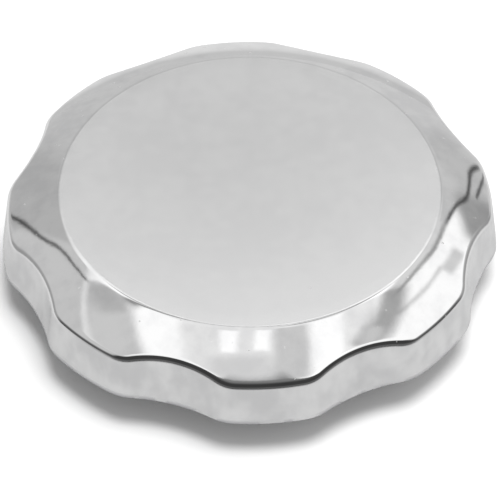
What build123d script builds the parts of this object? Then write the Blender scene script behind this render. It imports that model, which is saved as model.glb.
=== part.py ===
"""Fuel tank cap: a scalloped chromed cover over a vented bayonet lock.

Millimetres. +Z points up through the top of the cap, and the origin is on the cap's axis in the plane
of the flat foot that it stands on. A lobe of the cover is centred on each of +X, -X, +Y and -Y, and the
two bayonet ears point along +X and -X.
"""
from build123d import *
from math import atan, degrees, hypot
import os

# Cover, measured on its outside
lobe_count = 8
shoulder_radius = 36.5      # axis to the shoulder bend, in the middle of a lobe
scallop_depth = 1.9         # how far a scallop reaches in from the lobes
scallop_radius = 27.0       # radius of each hollow, seen from above
lobe_corner_radius = 6.4    # rounding between a lobe and a scallop
skirt_height = 7.0          # rim to shoulder, in the middle of a lobe
skirt_flare = 1.03          # how far the rim stands out from the shoulder
band_width = 7.9            # edge of the flat top to the shoulder, in the middle of a lobe
disc_rise = 3.84            # shoulder to flat top
band_radius = 48.0          # crown of the sloping band
disc_edge_radius = 2.0      # rounding where the flat top meets the band
shoulder_bend = 1.5         # outside radius of the bend from band to skirt
cover_sheet = 0.8

# Stand, gasket and seat pan
foot_below_rim = 5.6        # how far the lock cup stands out under the skirt
gasket_thickness = 2.6      # where the cup's flange holds it
gasket_width = 7.8          # inner to outer edge
gasket_bead = 0.6           # how far its sealing ring stands out below that
gasket_rounding = 0.4
gasket_clearance = 0.3      # gasket to the walls of its seat
pan_sheet = 0.8
pan_bend = 0.6              # inside radius of its bends
pan_lip_inset = 0.6         # lip of the pan, inside the edge of the flat top
pan_lip_short = 1.2         # how far the sealing ring stands out past that lip
weld_land = 1.1             # ring where the cup's flange is welded to the pan
vent_groove_width = 1.8
vent_groove_depth = 0.35
vent_groove_count = 2

# Lock cup
cup_sheet = 1.0
cup_bend = 0.6
flange_overlap = 1.9        # how far the flange reaches under the gasket
boss_margin = 1.9           # flat top of the raised boss, past the washer
boss_slope = 1.2            # how far its wall leans out
boss_height = 1.6
window_under = 1.3          # room under an ear in its window
window_over = 2.3
window_side = 0.5
window_corner_radius = 1.0

# Lock spring
strip_sheet = 0.8
strip_width = 12.0
strip_bend = 1.0
strip_flat_margin = 1.0     # flat of the strip, past the washer
strip_climb = 2.4           # length over which it climbs to the ears
ear_height = 4.6            # foot to the underside of an ear
ear_overhang = 5.1          # how far an ear stands out past the wall
ear_tip_length = 1.8        # turned-down lead-in at each tip
ear_tip_drop = 0.9
ear_corner_radius = 3.0

# Rivet and washer of the lock spring
rivet_shank_radius = 2.4
rivet_bore_radius = 1.5
rivet_head_radius = 4.2
rivet_head_height = 0.9
rivet_clench_radius = 3.6
rivet_clench_height = 0.7
rivet_clearance = 0.05      # shank to its holes, for both rivets
rivet_rounding = 0.8        # rounding of both rivets' rims, as a share of their height
washer_radius = 5.4
washer_sheet = 0.8

# Baffle dish, filter and eyelet
dish_sheet = 0.6
dish_bend = 0.8
dish_gap = 1.9              # wall of the dish to the wall of the cup
dish_depth = 4.2            # under the floor of the pan
dish_hole_radius = 1.1
dish_hole_inset = 4.6       # centres of its holes to the inside of its wall
dish_hole_count = 6
filter_clearance = 0.2
eyelet_shank_radius = 2.0
eyelet_bore_radius = 1.2
eyelet_head_radius = 3.4
eyelet_head_height = 0.6

# Heights that follow, measured from the foot
rim_z = foot_below_rim
shoulder_z = rim_z + skirt_height
top_z = shoulder_z + disc_rise
cover_under_z = top_z - cover_sheet
seat_z = cover_under_z - pan_sheet
pan_floor_z = seat_z - gasket_thickness
seal_z = pan_floor_z - gasket_bead
pan_floor_top_z = pan_floor_z + pan_sheet
flange_under_z = pan_floor_z - cup_sheet
boss_top_z = boss_height + cup_sheet
strip_top_z = boss_top_z + strip_sheet
washer_top_z = strip_top_z + washer_sheet
dish_under_z = pan_floor_z - dish_depth
dish_floor_z = dish_under_z + dish_sheet

# Radii that follow
disc_radius = shoulder_radius - band_width
pan_lip_radius = disc_radius - pan_lip_inset
gasket_outer_radius = pan_lip_radius - gasket_clearance
gasket_inner_radius = gasket_outer_radius - gasket_width
pan_centre_radius = gasket_inner_radius - gasket_clearance
cup_radius = pan_centre_radius - pan_sheet - pan_bend - weld_land - cup_bend
cup_flange_radius = gasket_inner_radius + flange_overlap
bead_inner_radius = cup_flange_radius + gasket_clearance
boss_flat_radius = washer_radius + boss_margin
dish_radius = cup_radius - cup_sheet - dish_gap
dish_inner_radius = dish_radius - dish_sheet
dish_hole_circle = dish_inner_radius - dish_hole_inset
strip_flat = washer_radius + strip_flat_margin
ear_reach = cup_radius + ear_overhang


def scalloped_outline(grow):
    """The cover's outline at its shoulder, seen from above, moved out everywhere by grow."""
    blank = Circle(shoulder_radius + grow)
    valley_radius = shoulder_radius - scallop_depth
    half_pitch = 180 / lobe_count
    places = PolarLocations(valley_radius + scallop_radius, lobe_count, start_angle=half_pitch)
    sharp = blank - places * Circle(scallop_radius - grow)
    return fillet(sharp.vertices(), lobe_corner_radius + grow)


def crown_section():
    """Half section of the flat top and the crowned band, run out past the shoulder and down to the rim."""
    chord = Vector(shoulder_radius - disc_radius, -disc_rise)
    middle = Vector(disc_radius, top_z) + chord * 0.5
    inward = Vector(-disc_rise, disc_radius - shoulder_radius).normalized()
    to_centre = (band_radius ** 2 - (chord.length / 2) ** 2) ** 0.5
    centre = middle + inward * to_centre

    def band_point(radius):
        height = (band_radius ** 2 - (radius - centre.X) ** 2) ** 0.5
        return (radius, centre.Y + height)

    reach = shoulder_radius + 3 * skirt_flare
    inner_end = (disc_radius, top_z)
    outer_end = band_point(reach)
    middle_point = band_point((disc_radius + reach) / 2)
    edges = [
        Line((0, rim_z), (0, top_z)),
        Line((0, top_z), inner_end),
        ThreePointArc(inner_end, middle_point, outer_end),
        Line(outer_end, (reach, rim_z)),
        Line((reach, rim_z), (0, rim_z)),
    ]
    face = make_face(edges)
    corner = face.vertices().sort_by_distance(inner_end)[0]
    return Plane.XZ * fillet(corner, disc_edge_radius)


def is_shoulder_edge(edge):
    """True for the edges where the band meets the scalloped skirt."""
    middle = edge.position_at(0.5)
    outside_disc = hypot(middle.X, middle.Y) > (disc_radius + shoulder_radius) / 2
    lower_end = min(edge.position_at(0).Z, edge.position_at(1).Z)
    return outside_disc and lower_end > shoulder_z - skirt_height / 4


def cover_shell():
    """The chromed cover: a crowned form trimmed by the scalloped skirt, bent at the shoulder, made hollow."""
    slope = skirt_flare / skirt_height
    top_outline = Plane.XY.offset(top_z) * scalloped_outline(-slope * disc_rise)
    skirt = extrude(top_outline, amount=rim_z - top_z, taper=-degrees(atan(slope)))
    form = skirt & revolve(crown_section(), Axis.Z)
    form = fillet(form.edges().filter_by(is_shoulder_edge), shoulder_bend)
    mouth = form.faces().sort_by(Axis.Z)[0]
    return offset(form, amount=-cover_sheet, openings=mouth, kind=Kind.INTERSECTION)


def bent_strip(points, bend, sheet):
    """Section of a bent sheet that lies to the left of the line of points, with bend as inside radius."""
    radii = []
    for before, corner, after in zip(points, points[1:], points[2:]):
        arrive = Vector(*corner) - Vector(*before)
        leave = Vector(*after) - Vector(*corner)
        turns_left = arrive.cross(leave).Z > 0
        radii.append(bend + sheet if turns_left else bend)
    line = FilletPolyline(*points, radius=radii)
    strip = offset(line, amount=sheet, side=Side.LEFT, closed=True)
    return make_face(strip.edges())


def pressing(points, bend, sheet):
    """A round pressing of even thickness. The points run along its underside, out from the axis."""
    return revolve(Plane.XZ * bent_strip(points, bend, sheet), Axis.Z)


def hole(radius):
    """A cutter for a hole right through a piece, along the axis."""
    return Cylinder(radius, 2 * top_z)


def ring(inner, outer, low, high):
    """A flat ring between two heights."""
    return Pos(0, 0, low) * extrude(Circle(outer) - Circle(inner), amount=high - low)


def seat_pan():
    """Pressing under the cover: drawn centre, flat ring that seats the gasket, and a lip round it."""
    points = [
        (0, pan_floor_z),
        (pan_centre_radius, pan_floor_z),
        (pan_centre_radius, seat_z),
        (pan_lip_radius, seat_z),
        (pan_lip_radius, seal_z + pan_lip_short),
    ]
    pan = pressing(points, pan_bend, pan_sheet) - hole(eyelet_shank_radius + rivet_clearance)
    groove = Box(disc_radius, vent_groove_width, vent_groove_depth, align=(Align.MIN, Align.CENTER, Align.MAX))
    for place in PolarLocations(pan_centre_radius - pan_sheet, vent_groove_count, start_angle=90):
        pan -= Pos(0, 0, cover_under_z) * place * groove
    return pan


def gasket():
    """Rubber ring in the pan: a flat part that the cup's flange holds, and a thicker sealing ring round it."""
    held = ring(gasket_inner_radius, gasket_outer_radius, pan_floor_z, seat_z)
    bead = ring(bead_inner_radius, gasket_outer_radius, seal_z, seat_z)
    body = held + bead
    levels = body.edges().group_by(Axis.Z)
    return fillet(levels[0] + levels[-1], gasket_rounding)


def lock_cup():
    """Drawn cup: flange welded under the pan, wall with two windows, ring foot and a raised boss."""
    points = [
        (0, boss_height),
        (boss_flat_radius, boss_height),
        (boss_flat_radius + boss_slope, 0),
        (cup_radius, 0),
        (cup_radius, flange_under_z),
        (cup_flange_radius, flange_under_z),
    ]
    cup = pressing(points, cup_bend, cup_sheet) - hole(rivet_shank_radius + rivet_clearance)
    width = strip_width + 2 * window_side
    height = window_under + strip_sheet + window_over
    opening = RectangleRounded(width, height, window_corner_radius)
    middle_z = ear_height - window_under + height / 2
    cutter = extrude(Plane.YZ * opening, amount=cup_radius + cup_sheet, both=True)
    return cup - Pos(0, 0, middle_z) * cutter


def lock_spring():
    """Bent strip on the boss, whose two ends come out through the windows as the bayonet ears."""
    half = [
        (strip_flat, boss_top_z),
        (strip_flat + strip_climb, ear_height),
        (ear_reach - ear_tip_length, ear_height),
        (ear_reach, ear_height - ear_tip_drop),
    ]
    mirrored = [(-x, z) for x, z in reversed(half)]
    section = bent_strip(mirrored + half, strip_bend, strip_sheet)
    bar = extrude(Plane.XZ * section, amount=strip_width / 2, both=True)
    ends = RectangleRounded(2 * ear_reach + strip_sheet, strip_width, ear_corner_radius)
    bar = bar & extrude(ends, amount=2 * ear_height)
    return bar - hole(rivet_shank_radius + rivet_clearance)


def tubular_rivet(shank, bore, head, head_height, clench, clench_height, low, high):
    """Hollow rivet that clamps from low to high, with its head below and its clenched end above."""
    head_z = low - head_height
    clench_z = high + clench_height
    points = [
        (bore, head_z),
        (head, head_z),
        (head, low),
        (shank, low),
        (shank, high),
        (clench, high),
        (clench, clench_z),
        (bore, clench_z),
    ]
    section = make_face(Polyline(*points, close=True))
    rims = [section.vertices().sort_by_distance(rim)[0] for rim in ((head, head_z), (clench, clench_z))]
    section = fillet(rims, rivet_rounding * min(head_height, clench_height))
    return revolve(Plane.XZ * section, Axis.Z)


def spring_rivet():
    """Hollow rivet through boss, strip and washer. Its head hides in the hollow under the boss."""
    return tubular_rivet(rivet_shank_radius, rivet_bore_radius, rivet_head_radius, rivet_head_height,
                         rivet_clench_radius, rivet_clench_height, boss_height, washer_top_z)


def spring_washer():
    """Flat washer on the strip, under the rivet's clenched end."""
    return ring(rivet_shank_radius + rivet_clearance, washer_radius, strip_top_z, washer_top_z)


def baffle_dish():
    """Shallow dish whose edge meets the floor of the pan, with a ring of holes in its bottom."""
    points = [(0, dish_under_z), (dish_radius, dish_under_z), (dish_radius, pan_floor_z)]
    dish = pressing(points, dish_bend, dish_sheet) - hole(eyelet_shank_radius + rivet_clearance)
    for place in PolarLocations(dish_hole_circle, dish_hole_count):
        dish -= Pos(0, 0, dish_under_z) * place * Cylinder(dish_hole_radius, 4 * dish_sheet)
    return dish


def vent_filter():
    """Foam disc that fills the dish up to the floor of the pan."""
    outer = dish_inner_radius - filter_clearance
    body = ring(eyelet_shank_radius + filter_clearance, outer, dish_floor_z, pan_floor_z)
    lower_edge = body.edges().group_by(Axis.Z)[0].sort_by(SortBy.LENGTH)[-1]
    return fillet(lower_edge, dish_bend)


def vent_eyelet():
    """Hollow rivet through dish, filter and pan. Its bore lets the tank breathe."""
    return tubular_rivet(eyelet_shank_radius, eyelet_bore_radius, eyelet_head_radius, eyelet_head_height,
                         eyelet_head_radius, eyelet_head_height, dish_under_z, pan_floor_top_z)


parts = [
    cover_shell,
    seat_pan,
    gasket,
    lock_cup,
    lock_spring,
    spring_rivet,
    spring_washer,
    baffle_dish,
    vent_filter,
    vent_eyelet,
]


def main():
    os.makedirs("parts", exist_ok=True)
    for make in parts:
        export_step(make(), f"parts/{make.__name__}.step")


main()
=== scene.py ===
"""Looks of the fuel tank cap: chromed cover, rubber, zinc and foam under it, white floor and soft light."""
from math import atan, atan2, cos, degrees, pi, radians, sin, sqrt

import bpy
import numpy as np
from mathutils import Matrix, Vector

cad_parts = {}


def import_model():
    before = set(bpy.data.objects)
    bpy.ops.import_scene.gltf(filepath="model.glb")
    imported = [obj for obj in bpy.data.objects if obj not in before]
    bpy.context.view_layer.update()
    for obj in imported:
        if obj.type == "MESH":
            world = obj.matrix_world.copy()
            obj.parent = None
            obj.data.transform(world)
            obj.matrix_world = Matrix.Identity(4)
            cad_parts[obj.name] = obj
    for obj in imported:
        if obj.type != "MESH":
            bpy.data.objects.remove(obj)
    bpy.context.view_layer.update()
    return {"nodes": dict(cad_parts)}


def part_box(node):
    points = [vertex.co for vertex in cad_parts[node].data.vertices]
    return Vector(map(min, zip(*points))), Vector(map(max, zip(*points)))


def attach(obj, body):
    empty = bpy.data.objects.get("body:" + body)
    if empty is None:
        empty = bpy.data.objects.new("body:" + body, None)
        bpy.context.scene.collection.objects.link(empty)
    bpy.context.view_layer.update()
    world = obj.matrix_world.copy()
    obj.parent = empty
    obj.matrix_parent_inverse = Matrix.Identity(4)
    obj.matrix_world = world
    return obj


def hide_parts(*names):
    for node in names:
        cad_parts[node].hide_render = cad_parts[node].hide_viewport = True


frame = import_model()

MM = 0.001

# Cover, as the solid model has it
LOBES = 8
SHOULDER_RADIUS = 36.5 * MM
SCALLOP_DEPTH = 1.9 * MM
SCALLOP_RADIUS = 27.0 * MM
LOBE_CORNER = 6.4 * MM
SKIRT_HEIGHT = 7.0 * MM
SKIRT_FLARE = 1.03 * MM
DISC_RADIUS = 28.6 * MM
DISC_RISE = 3.84 * MM
BAND_RADIUS = 48.0 * MM
DISC_EDGE = 2.0 * MM            # radius of the rounding at the disc's edge
SHOULDER_BEND = 1.5 * MM
SHEET = 0.8 * MM
RIM_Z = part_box("cover_shell")[0].z
TOP_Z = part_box("cover_shell")[1].z
SHOULDER_Z = RIM_Z + SKIRT_HEIGHT

# Mesh of the cover
AROUND = 640                    # points in each row
WALL_ROWS = 16
INNER_WALL_ROWS = 5
RIM_ROUND = 0.22 * MM
RIM_TURNS = (radians(30), radians(60), radians(90))
SETTLING_STEPS = 30             # to find the centre of the shoulder's bend

# Camera, fitted to the photograph. Pixels are those of the 500 pixel frame.
FRAME_PX = 500
FOCAL_PX = 2579.8
SENSOR_MM = 36.0
CAMERA_DISTANCE = 388.3 * MM
CAMERA_PITCH = radians(45.29)
CAMERA_ROLL = radians(0.14)
CAMERA_NEAREST = 10 * MM
LOBE_TURN = radians(4.60)       # how far the front lobe is turned from the camera
TARGET_PX = (249.17, 202.59)    # where the shoulder plane's centre lands

# Light on dull surfaces: a broad lamp overhead, and the tent's plain mean
LAMP_SHARE = 0.62               # of the light in which white shows as white
LAMP_WIDTH = radians(28)
LAMP_LEAN = radians(6)          # toward +X
PLAIN_LIGHT = 0.50
PLAIN_TILT = 0.34               # how much more of it comes from +X

# Card under the cap and table beyond it, as the cap mirrors them. Seen directly, all that is white.
WHITE = 1.0
CARD_GREY = 0.67
CARD_EDGE = 150 * MM            # from the axis, at the back and sides
CARD_FADE = CARD_EDGE
CARD_FRONT = 84 * MM            # and at the front
CARD_FRONT_FADE = 0.56 * CARD_FRONT
TABLE_GREY = 0.50
TABLE_FRONT_GREY = 0.10
TABLE_FRONT = (-0.45, 0.9)      # cosine from +Y at which the front begins, and its soft width
FLOOR_HALF = 3.0
FLOOR_GLOW = 0.07               # so that the open floor is white and the shadow stays

# Plating of the cover
BAND_ROUGH = 0.05
TOP_ROUGH = 0.24
SKIRT_ROUGH = 0.17
WORN_ROUGH = 0.36
SPECK_ROUGH = 0.45
PLATING_RELIEF = 0.03 * MM

# Marks of use
EAR_RUB = 17.5 * MM             # the ears are rubbed from here to their tips
SEAL_RING = 24.9 * MM           # middle of the neck's lip on the gasket
SEAL_HALF = 0.9 * MM            # half the width of its print

# Lines on the tent's walls, as azimuth and height in degrees
LEFT_SEAM = ((-42.6, 17), (-44, 24), (-47, 33), (-49.5, 42), (-54, 47.5), (-60, 52.5))
HOOKED_SEAM = ((41.3, 5), (42.9, 12), (44.9, 16), (47.2, 20))
RIGHT_FOLD = (
    (39.5, 7), (40.6, 14), (43.6, 19), (46.2, 23), (47.6, 29), (51.0, 35.5), (54.4, 39.6), (57, 42.2),
    (62.5, 48.7), (68.6, 53.6), (74.5, 58),
)
LINE_SPAN = 180                 # degrees of azimuth in which a line may lie, half on each side of the back
LINE_END_FADE = 0.06            # of a line's height

# Ceiling of the tent, by the sine of the height
CEILING_FROM = 0.6
CEILING_SOFT = 0.1
CEILING_MAP_FROM = 0.05         # lower down, its flat map doesn't reach

# Sockets of a mix node
MIX_SHARE = 0
MIX_NUMBERS = (2, 3)
MIX_COLOURS = (6, 7)
MIXED_NUMBER = 0
MIXED_COLOUR = 2


def outline():
    """Points and outward normals of the scalloped outline at the shoulder, at even polar angles from -Y.

    A sector has a scallop in its middle, and on each side a small round corner that leads to a lobe. The
    lobes lie on one circle round the axis.
    """
    angle = np.arange(AROUND) * 2 * pi / AROUND
    pitch = 2 * pi / LOBES
    from_valley = (angle % pitch) - pitch / 2
    off = np.abs(from_valley)
    corner_at = SHOULDER_RADIUS - LOBE_CORNER
    scallop_at = SHOULDER_RADIUS - SCALLOP_DEPTH + SCALLOP_RADIUS
    reach = SCALLOP_RADIUS + LOBE_CORNER
    lobe_from = np.arccos((corner_at ** 2 + scallop_at ** 2 - reach ** 2) / (2 * corner_at * scallop_at))
    corner = corner_at * np.array([np.sin(lobe_from), np.cos(lobe_from)])
    tangent = corner + LOBE_CORNER * (np.array([0, scallop_at]) - corner) / reach
    on_lobe = off >= lobe_from
    on_scallop = off <= atan2(tangent[0], tangent[1])

    def pick(lobe, scallop, between):
        return np.where(on_lobe, lobe, np.where(on_scallop, scallop, between))

    beside_scallop = scallop_at * np.sin(np.minimum(off, lobe_from))
    beside_corner = corner_at * np.sin(off - lobe_from)
    r_scallop = scallop_at * np.cos(off) - np.sqrt(SCALLOP_RADIUS ** 2 - beside_scallop ** 2)
    bulge = np.sqrt(np.maximum(LOBE_CORNER ** 2 - beside_corner ** 2, 0))
    r_corner = corner_at * np.cos(off - lobe_from) + bulge
    radius = pick(SHOULDER_RADIUS, r_scallop, r_corner)
    x = radius * np.sin(off)
    y = radius * np.cos(off)
    nx = pick(np.sin(off), -x / SCALLOP_RADIUS, (x - corner[0]) / LOBE_CORNER)
    ny = pick(np.cos(off), (scallop_at - y) / SCALLOP_RADIUS, (y - corner[1]) / LOBE_CORNER)
    side = np.sign(from_valley)
    return turned(side * x, y, angle - from_valley), turned(side * nx, ny, angle - from_valley)


def turned(x, y, valley_angle):
    """Turns points of a sector whose valley lies on +Y to their place, with angle 0 on -Y."""
    s = np.sin(valley_angle)
    c = np.cos(valley_angle)
    return np.stack([x * c + y * s, x * s - y * c], 1)


def ring(spoke, radius, z):
    """A row of points, one on each spoke, at a radius and a height."""
    radius = np.broadcast_to(radius, len(spoke))
    return np.c_[spoke * radius[:, None], np.broadcast_to(z, len(spoke))]


class Face:
    """The outer face of the cover, or the inner one at a depth under it."""

    def __init__(self, depth):
        self.point, self.normal = outline()
        self.slope = SKIRT_FLARE / SKIRT_HEIGHT
        self.draft = atan(self.slope)
        self.inset = depth / cos(self.draft)
        self.top = TOP_Z - depth
        self.radius = BAND_RADIUS - depth
        self.bend = SHOULDER_BEND - depth
        self.edge = DISC_EDGE - depth
        chord = Vector((SHOULDER_RADIUS - DISC_RADIUS, -DISC_RISE))
        middle = Vector((DISC_RADIUS, TOP_Z)) + chord * 0.5
        inward = Vector((-DISC_RISE, DISC_RADIUS - SHOULDER_RADIUS)).normalized()
        centre = middle + inward * sqrt(BAND_RADIUS ** 2 - (chord.length / 2) ** 2)
        self.centre_r = centre.x
        self.centre_z = centre.y
        self.ball, self.to_wall, self.to_band = self.rolling_ball()

    def band_z(self, r):
        """Height of the sloping band at a distance from the axis."""
        return self.centre_z + np.sqrt(self.radius ** 2 - (r - self.centre_r) ** 2)

    def grow(self, z):
        """How far the wall stands out from the shoulder outline at a height."""
        return self.slope * (SHOULDER_Z - z) - self.inset

    def rolling_ball(self):
        """Centre of the ball that rests in the bend, with its contact directions on wall and band."""
        ball_radius = self.radius - self.bend
        from_wall = self.bend / cos(self.draft)
        z = np.full(AROUND, SHOULDER_Z)
        for _ in range(SETTLING_STEPS):
            centre = self.point + self.normal * (self.grow(z) - from_wall)[:, None]
            r = np.hypot(centre[:, 0], centre[:, 1])
            z = self.centre_z + np.sqrt(ball_radius ** 2 - (r - self.centre_r) ** 2)
        to_wall = np.c_[self.normal * cos(self.draft), np.full(AROUND, sin(self.draft))]
        lean = (r - self.centre_r) / ball_radius
        to_band = np.c_[centre * (lean / r)[:, None], np.sqrt(1 - lean ** 2)]
        return np.c_[centre, z], to_wall, to_band

    def bend_row(self, t):
        """One row of the bend, from the band at t = 0 to the wall at t = 1."""
        angle = np.arccos(np.clip((self.to_wall * self.to_band).sum(1), -1, 1))[:, None]
        mix = (np.sin((1 - t) * angle) * self.to_band + np.sin(t * angle) * self.to_wall) / np.sin(angle)
        return self.ball + self.bend * mix

    def disc_edge(self):
        """Radius and height of the centre of the rounding at the disc's edge, and its whole turn."""
        z = self.top - self.edge
        inner = self.radius - self.edge
        r = self.centre_r + sqrt(inner ** 2 - (z - self.centre_z) ** 2)
        turn = atan2(r - self.centre_r, z - self.centre_z)
        return r, z, turn

    def rows(self, disc, edge, band, bend):
        """Rows of points from near the axis to the end of the bend. Each stretch says how many it gets."""
        edge_r, edge_z, turn = self.disc_edge()
        first = self.bend_row(0.0)
        far = np.hypot(first[:, 0], first[:, 1])
        spoke = first[:, :2] / far[:, None]
        out = [ring(spoke, edge_r * k / disc, self.top) for k in range(1, disc + 1)]
        for k in range(1, edge + 1):
            a = turn * k / edge
            out.append(ring(spoke, edge_r + self.edge * sin(a), edge_z + self.edge * cos(a)))
        start = edge_r + self.edge * sin(turn)
        for k in range(1, band):
            r = start + (far - start) * k / band
            out.append(ring(spoke, r, self.band_z(r)))
        return out + [self.bend_row(k / bend) for k in range(bend + 1)]

    def wall_row(self, z):
        """One row of the skirt's wall, at a height for each point."""
        return np.c_[self.point + self.normal * self.grow(z)[:, None], z]


def rim_rows(outer_end, inner_end, normal):
    """Rows round the rim, from the end of the outer wall to the end of the inner one."""
    rows = []
    for end, sign, turns in ((outer_end, -1, RIM_TURNS), (inner_end, 1, RIM_TURNS[::-1])):
        for turn in turns:
            place = end[:, :2] + normal * (RIM_ROUND * (1 - cos(turn)) * sign)
            rows.append(np.c_[place, np.full(AROUND, RIM_Z + RIM_ROUND * (1 - sin(turn)))])
    return rows


def cover_rows():
    """Rows of the closed sheet, out over the cover and back under it, and how many of them lie outside."""
    outer = Face(0.0)
    inner = Face(SHEET)
    rim = np.full(AROUND, RIM_Z + RIM_ROUND)
    rows = outer.rows(disc=12, edge=8, band=26, bend=12)
    start = rows[-1][:, 2]
    for k in range(1, WALL_ROWS + 1):
        rows.append(outer.wall_row(start + (rim - start) * k / WALL_ROWS))
    inner_end = inner.wall_row(rim)
    rows += rim_rows(rows[-1], inner_end, outer.normal)
    outside = len(rows)
    inside = inner.rows(disc=4, edge=4, band=8, bend=6)
    end = inside[-1][:, 2]
    rows.append(inner_end)
    for k in range(1, INNER_WALL_ROWS):
        rows.append(inner.wall_row(rim + (end - rim) * k / INNER_WALL_ROWS))
    return rows + inside[::-1], outside


def mesh_object(name, rows, caps):
    """A mesh from rows of points round the axis. Caps are the heights of the points that close its ends."""
    count = len(rows[0])
    points = [np.array([[0, 0, caps[0]]])] + rows + [np.array([[0, 0, caps[1]]])]
    faces = [(0, 1 + k, 1 + (k + 1) % count) for k in range(count)]
    for row in range(len(rows) - 1):
        low = 1 + row * count
        for k in range(count):
            here = low + k
            beside = low + (k + 1) % count
            faces.append((here, here + count, beside + count, beside))
    last = 1 + (len(rows) - 1) * count
    end = last + count
    faces += [(end, last + (k + 1) % count, last + k) for k in range(count)]
    mesh = bpy.data.meshes.new(name)
    mesh.from_pydata(np.concatenate(points).tolist(), [], faces)
    mesh.polygons.foreach_set("use_smooth", [True] * len(mesh.polygons))
    mesh.update()
    obj = bpy.data.objects.new(name, mesh)
    bpy.context.scene.collection.objects.link(obj)
    return obj


def dress(obj, *materials):
    """Gives an object its materials."""
    obj.data.materials.clear()
    for material in materials:
        obj.data.materials.append(material)


def cover():
    """The pressed cover as one closed sheet, plated bright outside and dull inside."""
    rows, outside = cover_rows()
    skin = mesh_object("cover_pressing", rows, (TOP_Z, TOP_Z - SHEET))
    dress(skin, Plating().material, inside_plating())
    sides = np.zeros(len(skin.data.polygons), np.int32)
    sides[AROUND * outside:] = 1
    skin.data.polygons.foreach_set("material_index", sides)
    return skin


def turn_pair(first, second, angle):
    """Two directions at right angles, turned so that the first goes toward the second."""
    return first * cos(angle) + second * sin(angle), second * cos(angle) - first * sin(angle)


def camera():
    """The photograph's camera."""
    centre = Vector((0, 0, SHOULDER_Z))
    level = cos(CAMERA_PITCH)
    away = Vector((-sin(LOBE_TURN) * level, -cos(LOBE_TURN) * level, sin(CAMERA_PITCH)))
    forward = -away
    right = forward.cross(Vector((0, 0, 1))).normalized()
    up = right.cross(forward)
    middle = (FRAME_PX - 1) / 2
    forward, up = turn_pair(forward, up, -atan2(middle - TARGET_PX[1], FOCAL_PX))
    forward, right = turn_pair(forward, right, -atan2(TARGET_PX[0] - middle, FOCAL_PX))
    right, up = turn_pair(right, up, CAMERA_ROLL)
    data = bpy.data.cameras.new("camera")
    data.sensor_width = SENSOR_MM
    data.lens = FOCAL_PX / FRAME_PX * SENSOR_MM
    data.clip_start = CAMERA_NEAREST
    obj = bpy.data.objects.new("camera", data)
    turn = Matrix((right, up, -forward)).transposed()
    obj.matrix_world = Matrix.Translation(centre + away * CAMERA_DISTANCE) @ turn.to_4x4()
    bpy.context.scene.collection.objects.link(obj)
    bpy.context.scene.camera = obj


def feed(tree, source, slot):
    """Gives a socket a constant, a worked-out number or another socket's output."""
    if isinstance(source, Value):
        source = source.socket
    if isinstance(source, bpy.types.NodeSocket):
        tree.links.new(source, slot)
    else:
        slot.default_value = source


class Value:
    """A number that shader nodes work out, with the usual signs for sums."""

    def __init__(self, tree, socket):
        self.tree = tree
        self.socket = socket

    def math(self, operation, *others):
        """The result of one math node on this number and others."""
        node = self.tree.nodes.new("ShaderNodeMath")
        node.operation = operation
        for slot, number in zip(node.inputs, (self, *others)):
            feed(self.tree, number, slot)
        return Value(self.tree, node.outputs[0])

    def __add__(self, other):
        return self.math("ADD", other)

    def __sub__(self, other):
        return self.math("SUBTRACT", other)

    def __mul__(self, other):
        return self.math("MULTIPLY", other)

    def __truediv__(self, other):
        return self.math("DIVIDE", other)

    def span(self, low, high):
        """0 at low, 1 at high, with a smooth change between. Low may lie above high."""
        node = self.tree.nodes.new("ShaderNodeMapRange")
        node.interpolation_type = "SMOOTHSTEP"
        feed(self.tree, self, node.inputs["Value"])
        feed(self.tree, low, node.inputs["From Min"])
        feed(self.tree, high, node.inputs["From Max"])
        return Value(self.tree, node.outputs["Result"])

    def above(self, edge, soft):
        """1 above an edge and 0 below it, over a soft width."""
        return self.span(edge - soft / 2, edge + soft / 2)

    def below(self, edge, soft):
        """1 below an edge and 0 above it, over a soft width."""
        return self.span(edge + soft / 2, edge - soft / 2)

    def size(self):
        """The number without its sign."""
        return self.math("ABSOLUTE")

    def toward(self, level, share):
        """This number, moved toward a level by a share."""
        node = self.tree.nodes.new("ShaderNodeMix")
        node.data_type = "FLOAT"
        feed(self.tree, share, node.inputs[MIX_SHARE])
        for slot, number in zip(MIX_NUMBERS, (self, level)):
            feed(self.tree, number, node.inputs[slot])
        return Value(self.tree, node.outputs[MIXED_NUMBER])


def split(tree, socket):
    """The three numbers of a vector."""
    node = tree.nodes.new("ShaderNodeSeparateXYZ")
    tree.links.new(socket, node.inputs[0])
    return [Value(tree, out) for out in node.outputs]


def grey(level):
    """Red, green and blue of a grey."""
    return level, level, level


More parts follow.
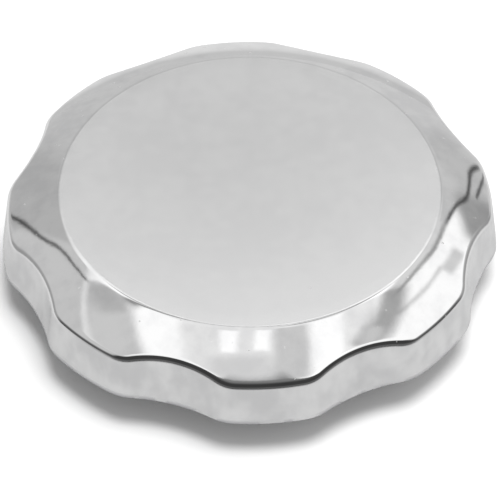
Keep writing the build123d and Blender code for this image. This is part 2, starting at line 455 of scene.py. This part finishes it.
class Finish:
    """A new material, with patterns that follow the place on the object."""

    def __init__(self, name, metallic):
        self.material = bpy.data.materials.new(name)
        self.material.use_nodes = True
        self.tree = self.material.node_tree
        self.shader = self.tree.nodes["Principled BSDF"]
        self.coordinates = self.tree.nodes.new("ShaderNodeTexCoord")
        self.place = self.coordinates.outputs["Object"]
        self.set("Metallic", metallic)

    def set(self, name, source):
        """Gives one of the shader's sockets a constant, a number or a colour."""
        feed(self.tree, source, self.shader.inputs[name])

    def from_axis(self):
        """Distance from the cap's axis."""
        x, y, _ = split(self.tree, self.place)
        return (x * x + y * y).math("SQRT")

    def noise(self, scale, detail, stretch=(1, 1, 1)):
        """Cloudy numbers round 0.5. Scale is how many clouds there are in a metre."""
        mapping = self.tree.nodes.new("ShaderNodeMapping")
        feed(self.tree, self.place, mapping.inputs["Vector"])
        feed(self.tree, stretch, mapping.inputs["Scale"])
        node = self.tree.nodes.new("ShaderNodeTexNoise")
        feed(self.tree, mapping.outputs[0], node.inputs["Vector"])
        feed(self.tree, scale, node.inputs["Scale"])
        feed(self.tree, detail, node.inputs["Detail"])
        return Value(self.tree, node.outputs["Fac"])

    def cells(self, scale):
        """Distance to the nearest of scattered points. Scale is how many there are in a metre."""
        node = self.tree.nodes.new("ShaderNodeTexVoronoi")
        feed(self.tree, self.place, node.inputs["Vector"])
        feed(self.tree, scale, node.inputs["Scale"])
        return Value(self.tree, node.outputs["Distance"])

    def mix(self, share, first, second):
        """A colour between two others, each a socket or its red, green and blue."""
        node = self.tree.nodes.new("ShaderNodeMix")
        node.data_type = "RGBA"
        feed(self.tree, share, node.inputs[MIX_SHARE])
        for slot, tint in zip(MIX_COLOURS, (first, second)):
            feed(self.tree, (*tint, 1) if isinstance(tint, tuple) else tint, node.inputs[slot])
        return node.outputs[MIXED_COLOUR]

    def relief(self, height, depth):
        """Bump from a height between 0 and 1, with its depth in metres."""
        node = self.tree.nodes.new("ShaderNodeBump")
        feed(self.tree, height, node.inputs["Height"])
        feed(self.tree, depth, node.inputs["Distance"])
        self.set("Normal", node.outputs[0])


class Plating(Finish):
    """Bright plating: satin on the flat top, mirror on the band, duller and rubbed on the skirt, whose
    colour is painted darker as shade in what it mirrors.
    """

    def __init__(self):
        super().__init__("chrome", metallic=1.0)
        self.broad = self.noise(scale=55, detail=3)
        self.clouds = self.noise(scale=150, detail=4)
        self.patches = self.noise(scale=460, detail=3)
        self.grain = self.noise(scale=2300, detail=2)
        self.streaks = self.noise(scale=330, detail=3, stretch=(1, 1, 0.7))
        self.radius = self.from_axis()
        self.lay_out()
        self.shine()
        self.tint()
        self.wave()

    def lay_out(self):
        """Where each finish lies, as a share between 0 and 1."""
        z = split(self.tree, self.place)[2]
        facing_up = split(self.tree, self.coordinates.outputs["Normal"])[2]
        ragged = self.radius + (self.patches - 0.5) * (0.8 * MM)
        self.top = ragged.below(DISC_RADIUS - 0.2 * MM, 0.6 * MM) * facing_up.above(0.985, 0.02)
        self.skirt = facing_up.below(0.40, 0.25)
        self.worn_rim = z.below(RIM_Z + 0.6 * MM, 0.6 * MM) * self.streaks.above(0.5, 0.12)
        specks = self.cells(scale=560).below(0.13, 0.06) * self.patches.above(0.57, 0.05)
        self.specks = specks.toward(0.0, self.top).toward(0.0, self.skirt)

    def shine(self):
        """Roughness: least on the band, more on the skirt and the flat top, most where it is worn."""
        cloudy = (self.clouds - 0.5) * 0.10 + (self.patches - 0.5) * 0.06
        band = cloudy * 0.4 + BAND_ROUGH
        top = cloudy * 0.7 + (self.broad - 0.5) * 0.1 + TOP_ROUGH
        skirt = cloudy + (self.streaks - 0.5) * 0.2 + SKIRT_ROUGH
        rough = band.toward(top, self.top).toward(skirt, self.skirt)
        self.set("Roughness", rough.toward(WORN_ROUGH, self.worn_rim).toward(SPECK_ROUGH, self.specks))

    def tint(self):
        """Colour: softly mottled, a little darker toward the middle of the disc, and on the skirt painted
        darker, as painted shade that dims what it mirrors.
        """
        mottle = (self.broad * 0.35 + self.clouds * 0.35 + self.patches * 0.3).span(0.40, 0.60)
        band = self.mix(mottle, (0.845, 0.845, 0.85), grey(0.945))
        # The disc's colour is darker toward its middle.
        disc_middle_tone = self.mix(mottle, (0.835, 0.835, 0.837), grey(0.865))
        disc_outer_tone = self.mix(mottle, (0.89, 0.89, 0.892), grey(0.925))
        disc = self.mix(self.radius.span(6 * MM, 28 * MM), disc_middle_tone, disc_outer_tone)
        # The skirt's plating is painted darker than the band's: painted shade that dims the floor it
        # mirrors, mottled at random.
        shaded_skirt_mottle = (self.streaks * 0.5 + self.clouds * 0.5).span(0.36, 0.64)
        skirt = self.mix(shaded_skirt_mottle, (0.70, 0.70, 0.705), grey(0.86))
        plating = self.mix(self.skirt, self.mix(self.top, band, disc), skirt)
        plating = self.mix(self.worn_rim, plating, (0.60, 0.60, 0.61))
        self.set("Base Color", self.mix(self.specks, plating, grey(0.98)))

    def wave(self):
        """Slight waves of the pressed sheet, and fine pits."""
        waves = self.noise(scale=95, detail=1)
        band = waves * 0.80 + self.clouds * 0.15 + self.patches * 0.13 + self.grain * 0.008
        top = waves * 0.30 + self.clouds * 0.10 + self.patches * 0.05
        skirt = waves * 0.60 + self.streaks * 0.20 + self.grain * 0.02
        self.relief(band.toward(top, self.top).toward(skirt, self.skirt), PLATING_RELIEF)


def inside_plating():
    """The underside of the cover, where the plating is thin and dull over the drawn steel."""
    finish = Finish("inside_plating", metallic=1.0)
    clouds = finish.noise(scale=160, detail=4)
    drawn = finish.noise(scale=900, detail=3, stretch=(1, 1, 0.15))
    stain = (clouds * 0.7 + drawn * 0.3).span(0.4, 0.66)
    finish.set("Base Color", finish.mix(stain, (0.60, 0.61, 0.62), (0.46, 0.455, 0.44)))
    finish.set("Roughness", clouds * 0.25 + 0.22)
    finish.relief(drawn, 0.02 * MM)
    return finish.material


def zinc(name, pale, dark, stretch):
    """Zinc plate with a faint bluish bloom, rubbed marks and small stains."""
    finish = Finish(name, metallic=1.0)
    bloom = finish.noise(scale=210, detail=4)
    rubbed = finish.noise(scale=1500, detail=3, stretch=stretch)
    stains = finish.cells(scale=260).below(0.16, 0.14) * bloom.above(0.52, 0.1)
    plate = finish.mix(bloom.span(0.3, 0.7), pale, dark)
    finish.set("Base Color", finish.mix(stains, plate, (0.36, 0.34, 0.30)))
    finish.set("Roughness", (bloom * 0.3 + rubbed * 0.25 + 0.1).toward(0.55, stains))
    finish.relief(rubbed * 0.6 + bloom * 0.4, 0.012 * MM)
    return finish.material


def spring_steel():
    """Dark oiled strip, rolled lengthwise, and rubbed bright where the ears slide on the neck."""
    finish = Finish("spring_steel", metallic=1.0)
    x = split(finish.tree, finish.place)[0]
    clouds = finish.noise(scale=190, detail=4)
    rolled = finish.noise(scale=2200, detail=2, stretch=(0.06, 1, 1))
    rubbed = x.size().above(EAR_RUB, 1.5 * MM) * (rolled + clouds).above(1.0, 0.3)
    steel = finish.mix(clouds.span(0.3, 0.7), (0.30, 0.29, 0.285), (0.42, 0.405, 0.39))
    finish.set("Base Color", finish.mix(rubbed, steel, (0.66, 0.655, 0.65)))
    finish.set("Roughness", (rolled * 0.3 + 0.16).toward(0.2, rubbed))
    finish.relief(rolled, 0.01 * MM)
    return finish.material


def turned_metal(name, bright, dull):
    """Rivet and eyelet metal, bright with duller and darker clouds of tarnish."""
    finish = Finish(name, metallic=1.0)
    clouds = finish.noise(scale=420, detail=4)
    rubbed = finish.noise(scale=2400, detail=3)
    tarnish = (clouds * 0.7 + rubbed * 0.3).span(0.4, 0.62)
    finish.set("Base Color", finish.mix(tarnish, bright, dull))
    finish.set("Roughness", clouds * 0.35 + 0.12)
    finish.relief(rubbed, 0.012 * MM)
    return finish.material


def rubber():
    """Black gasket rubber with a moulded grain, grey bloom and a ring pressed into it by the neck."""
    finish = Finish("rubber", metallic=0.0)
    grain = finish.noise(scale=3800, detail=2)
    bloom = finish.noise(scale=300, detail=5)
    printed = (finish.from_axis() - SEAL_RING).size().below(SEAL_HALF, 0.5 * MM)
    black = (0.022, 0.022, 0.024)
    dusty = (0.085, 0.083, 0.08)
    finish.set("Base Color", finish.mix(bloom.span(0.5, 0.72), black, dusty))
    finish.set("Roughness", (bloom * 0.3 + 0.42).toward(0.28, printed))
    finish.relief((grain * 0.25 + bloom * 0.3).toward(0.0, printed), 0.09 * MM)
    return finish.material


def foam():
    """Open foam of the breather filter, grey-green with fuel stains."""
    finish = Finish("foam", metallic=0.0)
    pores = finish.cells(scale=1700)
    clouds = finish.noise(scale=240, detail=4)
    shade = (pores * 0.8 + clouds * 0.3).span(0.2, 0.9)
    finish.set("Base Color", finish.mix(shade, (0.05, 0.055, 0.05), (0.24, 0.25, 0.21)))
    finish.set("Roughness", 0.95)
    finish.relief(pores, 0.35 * MM)
    return finish.material


def finishes():
    """Gives every piece under the cover its finish."""
    pan = zinc("zinc_pan", pale=(0.66, 0.67, 0.69), dark=(0.52, 0.53, 0.55), stretch=(1, 1, 0.1))
    cup = zinc("zinc_cup", pale=(0.70, 0.71, 0.73), dark=(0.56, 0.57, 0.60), stretch=(1, 1, 0.06))
    steel = turned_metal("rivet_steel", bright=(0.66, 0.665, 0.67), dull=(0.42, 0.41, 0.40))
    brass = turned_metal("eyelet_brass", bright=(0.80, 0.62, 0.30), dull=(0.45, 0.33, 0.15))
    coats = {
        "seat_pan": pan,
        "baffle_dish": pan,
        "lock_cup": cup,
        "gasket": rubber(),
        "lock_spring": spring_steel(),
        "spring_rivet": steel,
        "spring_washer": steel,
        "vent_eyelet": brass,
        "vent_filter": foam(),
    }
    for node, material in coats.items():
        dress(frame["nodes"][node], material)


class Line:
    """A line through points of the tent's wall, each an azimuth and a height.

    beside is how far a direction lies to the right of it, in degrees, and ends is 1 between its two ends.
    """

    def __init__(self, azimuth, height, points):
        low = points[0][1]
        high = points[-1][1]

        def knot(point):
            return (point[1] - low) / (high - low), 0.5 + point[0] / LINE_SPAN

        node = azimuth.tree.nodes.new("ShaderNodeFloatCurve")
        curve = node.mapping.curves[0]
        curve.points[0].location = knot(points[0])
        curve.points[1].location = knot(points[-1])
        for point in points[1:-1]:
            curve.points.new(*knot(point))
        node.mapping.update()
        along = (height - low) / (high - low)
        feed(azimuth.tree, along, node.inputs["Value"])
        self.beside = azimuth - (Value(azimuth.tree, node.outputs[0]) - 0.5) * LINE_SPAN
        self.ends = along.span(0, LINE_END_FADE) * along.span(1, 1 - LINE_END_FADE)

    def stroke(self, half_width, soft):
        """1 along the line and 0 beside it."""
        return self.beside.size().below(half_width, soft) * self.ends


def panel(u, v, at, size, soft, turn=0):
    """1 inside a soft-edged panel on a map with coordinates u and v, and 0 outside it."""
    c = cos(radians(turn))
    s = sin(radians(turn))
    along = (u - at[0]) * c + (v - at[1]) * s
    across = (v - at[1]) * c - (u - at[0]) * s
    return along.size().below(size[0] / 2, soft) * across.size().below(size[1] / 2, soft)


class Tent:
    """The light tent round the cap, as its brightness in each direction.

    What is on its walls is placed by azimuth and height in degrees, with azimuth 0 at +Y, the back, and 90
    at +X. What is on its ceiling is placed on a flat map, in shares of the ceiling's height.
    """

    def __init__(self, tree, direction):
        x, y, z = split(tree, direction)
        flat_z = z.math("MAXIMUM", CEILING_MAP_FROM)
        self.azimuth = x.math("ARCTAN2", y) * degrees(1)
        self.height = z.math("ARCSINE") * degrees(1)
        self.across = x / flat_z
        self.back = y / flat_z
        self.overhead = z.above(CEILING_FROM, CEILING_SOFT)
        self.fold = Line(self.azimuth, self.height, RIGHT_FOLD)
        self.back_wall()
        self.left_wall()
        self.right_wall()
        self.ceiling()
        self.open_front()
        self.seams()

    def paint(self, level, share):
        """Moves the brightness toward a level by a share."""
        self.light = self.light.toward(level, share)

    def on_wall(self, level, **where):
        """Paints a panel on a wall."""
        self.paint(level, panel(self.azimuth, self.height, **where))

    def on_ceiling(self, level, **where):
        """Paints a panel on the ceiling."""
        self.paint(level, panel(self.across, self.back, **where) * self.overhead)

    def back_wall(self):
        """Back wall, plain below and brighter above, with a dim strip at the top and shaded corners."""
        self.light = self.height.span(28, 60) + 0.13
        self.paint(0.52, self.height.below(38, 8))
        self.paint(0.57, self.height.below(24, 14))
        self.light = self.light * (self.azimuth.span(-6, 16) * 0.14 + 0.965)
        self.on_wall(0.40, at=(5, 60.5), size=(70, 6), soft=5)
        self.paint(0.86, self.height.above(64, 6))
        self.on_wall(0.45, at=(-37, 25), size=(24, 38), soft=10)
        self.on_wall(0.52, at=(38, 16), size=(16, 16), soft=8)

    def left_wall(self):
        """Left wall with the panel above it and the fold between them."""
        self.on_wall(0.57, at=(-86, 32), size=(80, 38), soft=2.5)
        self.on_wall(0.60, at=(-86, 58.3), size=(56, 14), soft=3)
        self.on_wall(0.47, at=(-66, 57.5), size=(16, 9), soft=6, turn=-20)
        self.on_wall(0.78, at=(-75, 50.8), size=(32, 1.2), soft=1.6, turn=2)

    def right_wall(self):
        """Right wall, bright beyond its fold, with a dark low corner, a thin crease and a small patch."""
        self.on_wall(0.70, at=(52, 47), size=(34, 22), soft=5)
        bright = panel(self.azimuth, self.height, at=(86, 43), size=(76, 29), soft=3)
        self.paint(1.04, bright * self.fold.beside.above(0, 0.8))
        self.on_wall(0.34, at=(53, 22), size=(14, 15), soft=6, turn=20)
        self.on_wall(0.60, at=(74, 49.3), size=(24, 1.3), soft=2, turn=36)
        self.on_wall(0.66, at=(63.3, 37.8), size=(9, 4.5), soft=2.5, turn=45)

    def ceiling(self):
        """Ceiling of cloth strips, with two small windows in front, and a dim hem over the right wall."""
        self.on_ceiling(1.05, at=(-0.37, 0.00), size=(0.22, 0.66), soft=0.09, turn=-8)
        self.on_ceiling(0.82, at=(-0.20, -0.13), size=(0.16, 0.36), soft=0.08, turn=-5)
        self.on_ceiling(0.72, at=(0.0, -0.25), size=(0.36, 0.14), soft=0.08)
        self.on_ceiling(0.62, at=(0.165, -0.165), size=(0.15, 0.38), soft=0.05)
        self.on_ceiling(1.12, at=(0.32, -0.12), size=(0.15, 0.52), soft=0.06, turn=9)
        self.on_ceiling(0.86, at=(0.47, -0.02), size=(0.14, 0.48), soft=0.06, turn=9)
        self.on_ceiling(1.15, at=(-0.086, -0.075), size=(0.066, 0.15), soft=0.03, turn=-8)
        self.on_ceiling(1.12, at=(0.043, -0.072), size=(0.060, 0.15), soft=0.03, turn=-6)
        self.on_ceiling(0.30, at=(-0.27, 0.34), size=(0.46, 0.09), soft=0.05, turn=34)
        self.on_ceiling(0.30, at=(0.23, 0.36), size=(0.32, 0.09), soft=0.05, turn=45)
        self.on_wall(0.40, at=(88, 59.2), size=(40, 7.2), soft=5, turn=8)
        self.on_wall(0.60, at=(100, 61.5), size=(16, 5), soft=4)

    def open_front(self):
        """Dark gap under the walls, and the open front, where the dim room shows under a lintel."""
        off_back = self.azimuth.size()
        lintel = off_back.span(128, 160) * 28 + 43
        opening = off_back.above(118, 12) * (self.height - lintel).below(0, 5)
        room = self.height.span(40, 73) * 0.18 + self.height.span(18, 4) * 0.07 + 0.045
        self.paint(0.34, off_back.above(54, 12) * self.height.below(22, 18))
        self.paint(0.10, off_back.above(86, 16) * self.height.below(22, 16))
        self.paint(room, opening)

    def seams(self):
        """Sewn seams between back wall and sides. The right one has a hook below and pales higher up."""
        left = Line(self.azimuth, self.height, LEFT_SEAM)
        hooked = Line(self.azimuth, self.height, HOOKED_SEAM)
        self.paint(0.06, left.stroke(0.60, 1.2))
        self.paint(0.10, hooked.stroke(0.40, 0.8))
        self.paint(0.06, self.fold.stroke(0.60, 1.2) * self.height.below(36, 6))
        self.paint(0.30, self.fold.stroke(0.95, 1.8) * self.height.above(36, 6))


def world():
    """The light tent in reflections, its plain mean on dull surfaces, and white behind the cap."""
    studio = bpy.data.worlds.new("studio")
    bpy.context.scene.world = studio
    studio.use_nodes = True
    tree = studio.node_tree
    direction = tree.nodes.new("ShaderNodeTexCoord").outputs["Generated"]
    rays = tree.nodes.new("ShaderNodeLightPath")
    tent = Tent(tree, direction).light
    light = split(tree, direction)[0] * PLAIN_TILT + PLAIN_LIGHT
    for ray, level in (("Is Glossy Ray", tent), ("Is Camera Ray", WHITE), ("Is Transmission Ray", WHITE)):
        light = light.toward(level, Value(tree, rays.outputs[ray]))
    background = tree.nodes["Background"]
    feed(tree, light, background.inputs["Strength"])
    feed(tree, (1, 1, 1, 1), background.inputs["Color"])


def overhead_lamp():
    """Broad lamp over the tent, a little to the right, so that the shadow falls a little to the left."""
    data = bpy.data.lights.new("overhead", "SUN")
    data.energy = LAMP_SHARE * pi / cos(LAMP_LEAN)
    data.angle = LAMP_WIDTH
    obj = bpy.data.objects.new("overhead", data)
    obj.rotation_euler = (0, LAMP_LEAN, 0)
    obj.visible_glossy = False
    bpy.context.scene.collection.objects.link(obj)


def card():
    """White card. In reflections it is greyer and fades into a darker table, darkest at the front."""
    finish = Finish("table", metallic=0.0)
    rays = finish.tree.nodes.new("ShaderNodeLightPath")
    seen = Value(finish.tree, rays.outputs["Is Camera Ray"])
    far = finish.from_axis()
    ahead = (split(finish.tree, finish.place)[1] / far).below(*TABLE_FRONT)
    beyond = far.above(CARD_EDGE, CARD_FADE).toward(far.above(CARD_FRONT, CARD_FRONT_FADE), ahead)
    table = finish.mix(ahead, grey(TABLE_GREY), grey(TABLE_FRONT_GREY))
    mirrored = finish.mix(beyond, grey(CARD_GREY), table)
    finish.set("Base Color", finish.mix(seen, mirrored, grey(WHITE)))
    finish.set("Emission Color", (1, 1, 1, 1))
    finish.set("Emission Strength", seen * FLOOR_GLOW)
    finish.set("Roughness", 1.0)
    finish.set("Specular IOR Level", 0.0)
    return finish.material


def floor():
    """Wide level floor on which the cap lies."""
    mesh = bpy.data.meshes.new("floor")
    corners = [(x * FLOOR_HALF, y * FLOOR_HALF, 0) for x, y in ((-1, -1), (1, -1), (1, 1), (-1, 1))]
    mesh.from_pydata(corners, [], [(0, 1, 2, 3)])
    obj = bpy.data.objects.new("floor", mesh)
    bpy.context.scene.collection.objects.link(obj)
    dress(obj, card())


skin = cover()
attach(skin, "root")
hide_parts("cover_shell")
finishes()
camera()
floor()
overhead_lamp()
world()
bpy.context.scene.view_settings.view_transform = "Standard"
